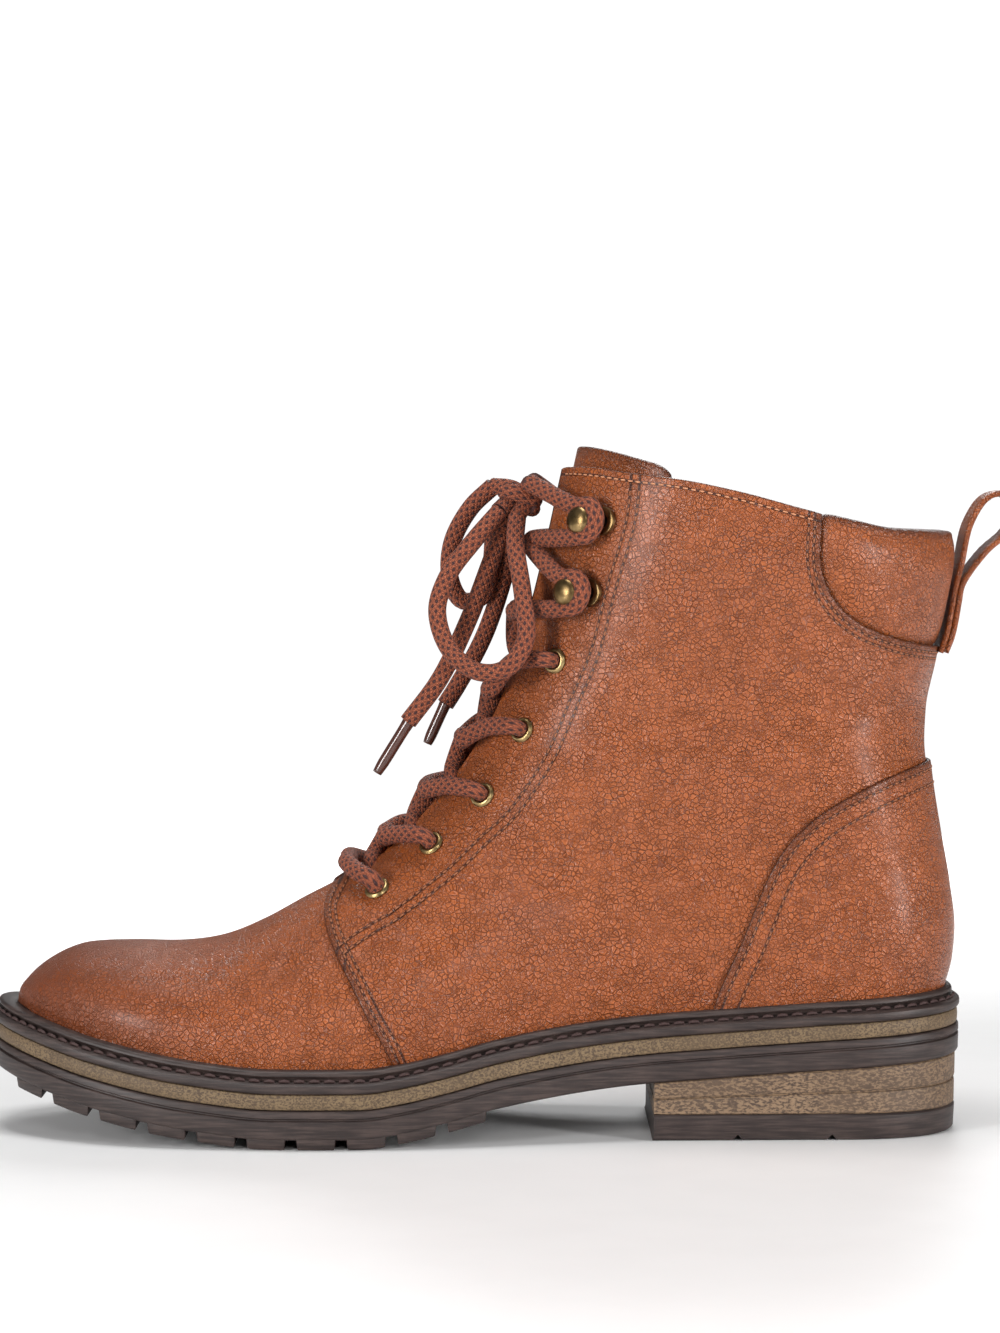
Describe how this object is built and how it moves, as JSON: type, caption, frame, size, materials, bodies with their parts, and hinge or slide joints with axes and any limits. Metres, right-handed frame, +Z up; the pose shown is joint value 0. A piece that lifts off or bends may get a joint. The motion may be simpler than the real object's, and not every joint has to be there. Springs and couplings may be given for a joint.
{
  "type": "lace-up ankle boot",
  "caption": "Hollow leather lace-up ankle boot for the left foot, on a lugged sole with a low stacked heel, with padded collar, heel counter, lace hooks and pull loop.",
  "frame": {"origin": "on the floor under the middle of the heel, at the flat rest face of the top lift", "axes": "-X towards the toe, +X towards the heel's back, -Y towards the outer side of the foot, +Z up"},
  "size_m": [0.2977, 0.101, 0.1957],
  "materials": {
    "upper_leather": "tumbled, semi-gloss cognac leather",
    "pad_leather": "soft cognac leather over padding",
    "lining": "matt brown lining",
    "dark_rubber": "brushed dark brown rubber",
    "stack_tan": "speckled tan stacked layer",
    "aged_brass": "aged brass",
    "lace_cord": "woven round cord with dark flecks",
    "lace_tip": "glossy dark brown tip"
  },
  "bodies": {
    "root": {"outsole": "dark_rubber", "midsole": "stack_tan", "welt": "dark_rubber", "heel_stack": "stack_tan", "top_lift": "dark_rubber", "insole": "lining", "upper": "upper_leather", "heel_counter": "upper_leather", "collar_pad": "pad_leather", "tongue": "upper_leather", "pull_loop": "upper_leather", "eyelet_lateral_1": "aged_brass", "eyelet_lateral_2": "aged_brass", "eyelet_lateral_3": "aged_brass", "eyelet_lateral_4": "aged_brass", "eyelet_lateral_5": "aged_brass", "lace_hook_lateral_1": "aged_brass", "lace_hook_lateral_2": "aged_brass", "eyelet_medial_1": "aged_brass", "eyelet_medial_2": "aged_brass", "eyelet_medial_3": "aged_brass", "eyelet_medial_4": "aged_brass", "eyelet_medial_5": "aged_brass", "lace_hook_medial_1": "aged_brass", "lace_hook_medial_2": "aged_brass", "lace_bar": "lace_cord", "lace_crossing_1": "lace_cord", "lace_crossing_2": "lace_cord", "lace_crossing_3": "lace_cord", "lace_crossing_4": "lace_cord", "lace_over_hooks": "lace_cord", "lace_knot": "lace_cord", "lace_loop_near": "lace_cord", "lace_loop_far": "lace_cord", "lace_end_near": "lace_cord", "lace_end_far": "lace_cord", "lace_tip_near": "lace_tip", "lace_tip_far": "lace_tip"}
  },
  "joints": []
}
